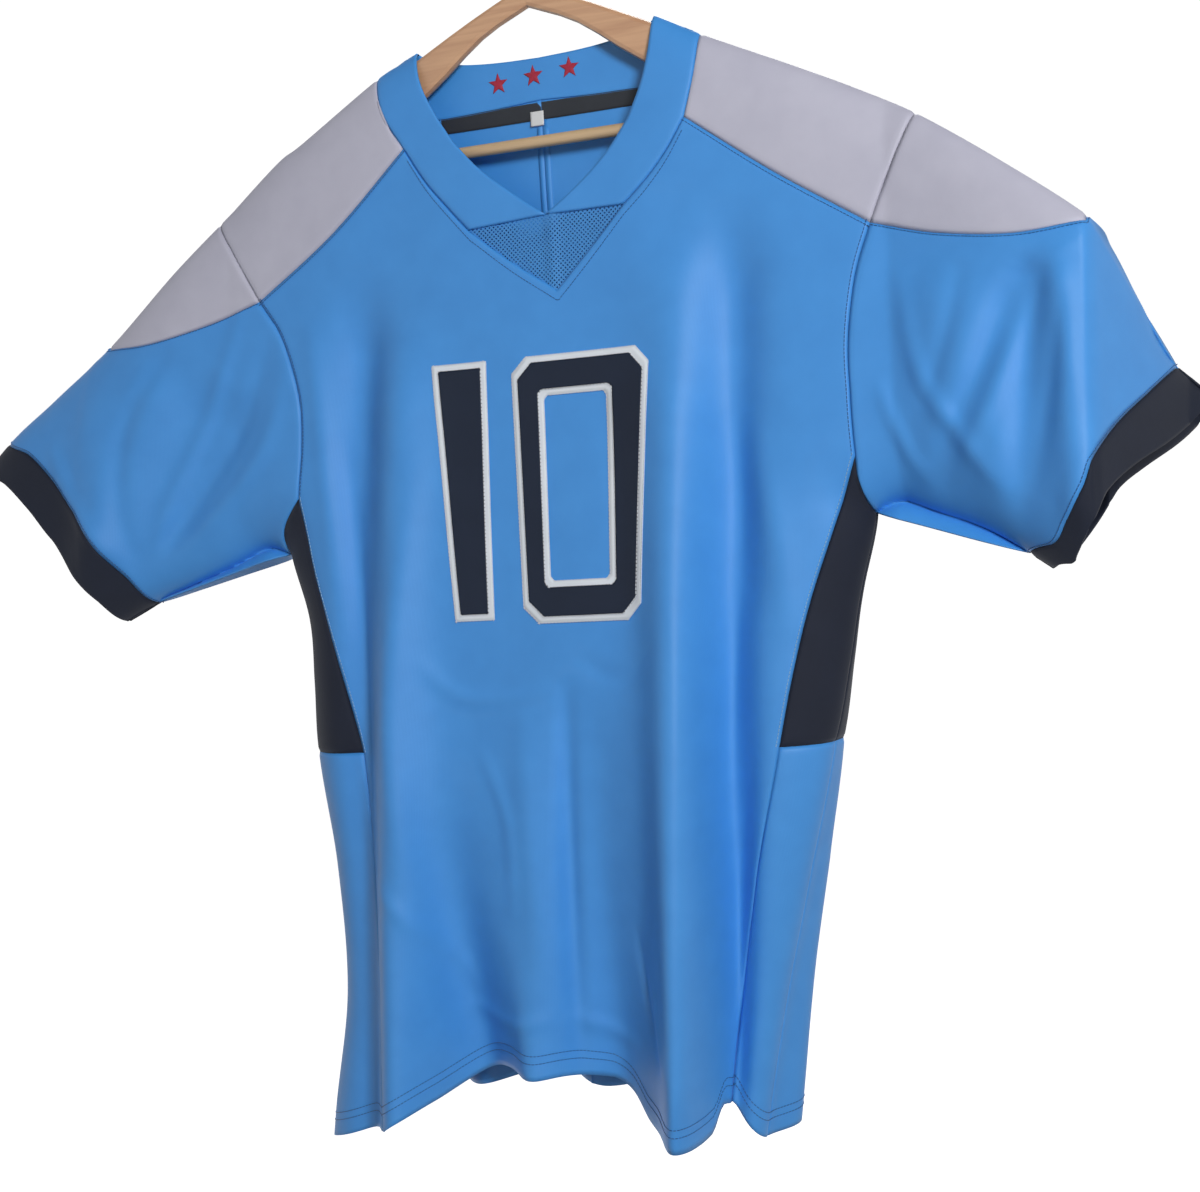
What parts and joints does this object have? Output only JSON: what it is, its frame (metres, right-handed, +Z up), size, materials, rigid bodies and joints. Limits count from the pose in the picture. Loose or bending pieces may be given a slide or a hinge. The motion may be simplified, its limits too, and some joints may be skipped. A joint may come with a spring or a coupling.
{
  "type": "football jersey on a clothes hanger",
  "caption": "Short-sleeved V-neck football jersey in sky blue with grey shoulders, dark side inserts and cuffs and the figures 10, hanging on a wooden clothes hanger.",
  "frame": {"origin": "inside top of the hanger's hook, where it bears on the rail", "axes": "+X to the viewer's right as the jersey's front is seen, -Y out of the front, +Z up"},
  "size_m": [0.9919, 0.1652, 0.9628],
  "materials": {
    "blue_knit": "smooth polyester knit with a soft sheen",
    "grey_knit": "smooth polyester knit",
    "navy_knit": "matt polyester knit",
    "white_cloth": "woven, matt",
    "red_thread": "embroidered",
    "charcoal_tape": "woven tape",
    "beech": "clear varnish",
    "steel_wire": "polished"
  },
  "bodies": {
    "root": {"front": "blue_knit", "back_left": "blue_knit", "back_right": "blue_knit", "collar": "blue_knit", "mesh_gusset": "blue_knit", "sleeve_left": "blue_knit", "sleeve_right": "blue_knit", "side_front_left_lower": "blue_knit", "side_front_right_lower": "blue_knit", "side_back_left_lower": "blue_knit", "side_back_right_lower": "blue_knit", "back_seam_tape": "blue_knit", "yoke_left": "grey_knit", "yoke_right": "grey_knit", "sleeve_cap_left": "grey_knit", "sleeve_cap_right": "grey_knit", "cuff_left": "navy_knit", "cuff_right": "navy_knit", "side_front_left_insert": "navy_knit", "side_front_right_insert": "navy_knit", "side_back_left_insert": "navy_knit", "side_back_right_insert": "navy_knit", "digit_one": "navy_knit", "digit_zero": "navy_knit", "digit_one_edge": "white_cloth", "digit_zero_edge": "white_cloth", "label": "white_cloth", "star_left": "red_thread", "star_middle": "red_thread", "star_right": "red_thread", "neck_tape": "charcoal_tape", "hanger_wood": "beech", "hanger_bar": "beech", "hanger_hook": "steel_wire"}
  },
  "joints": []
}
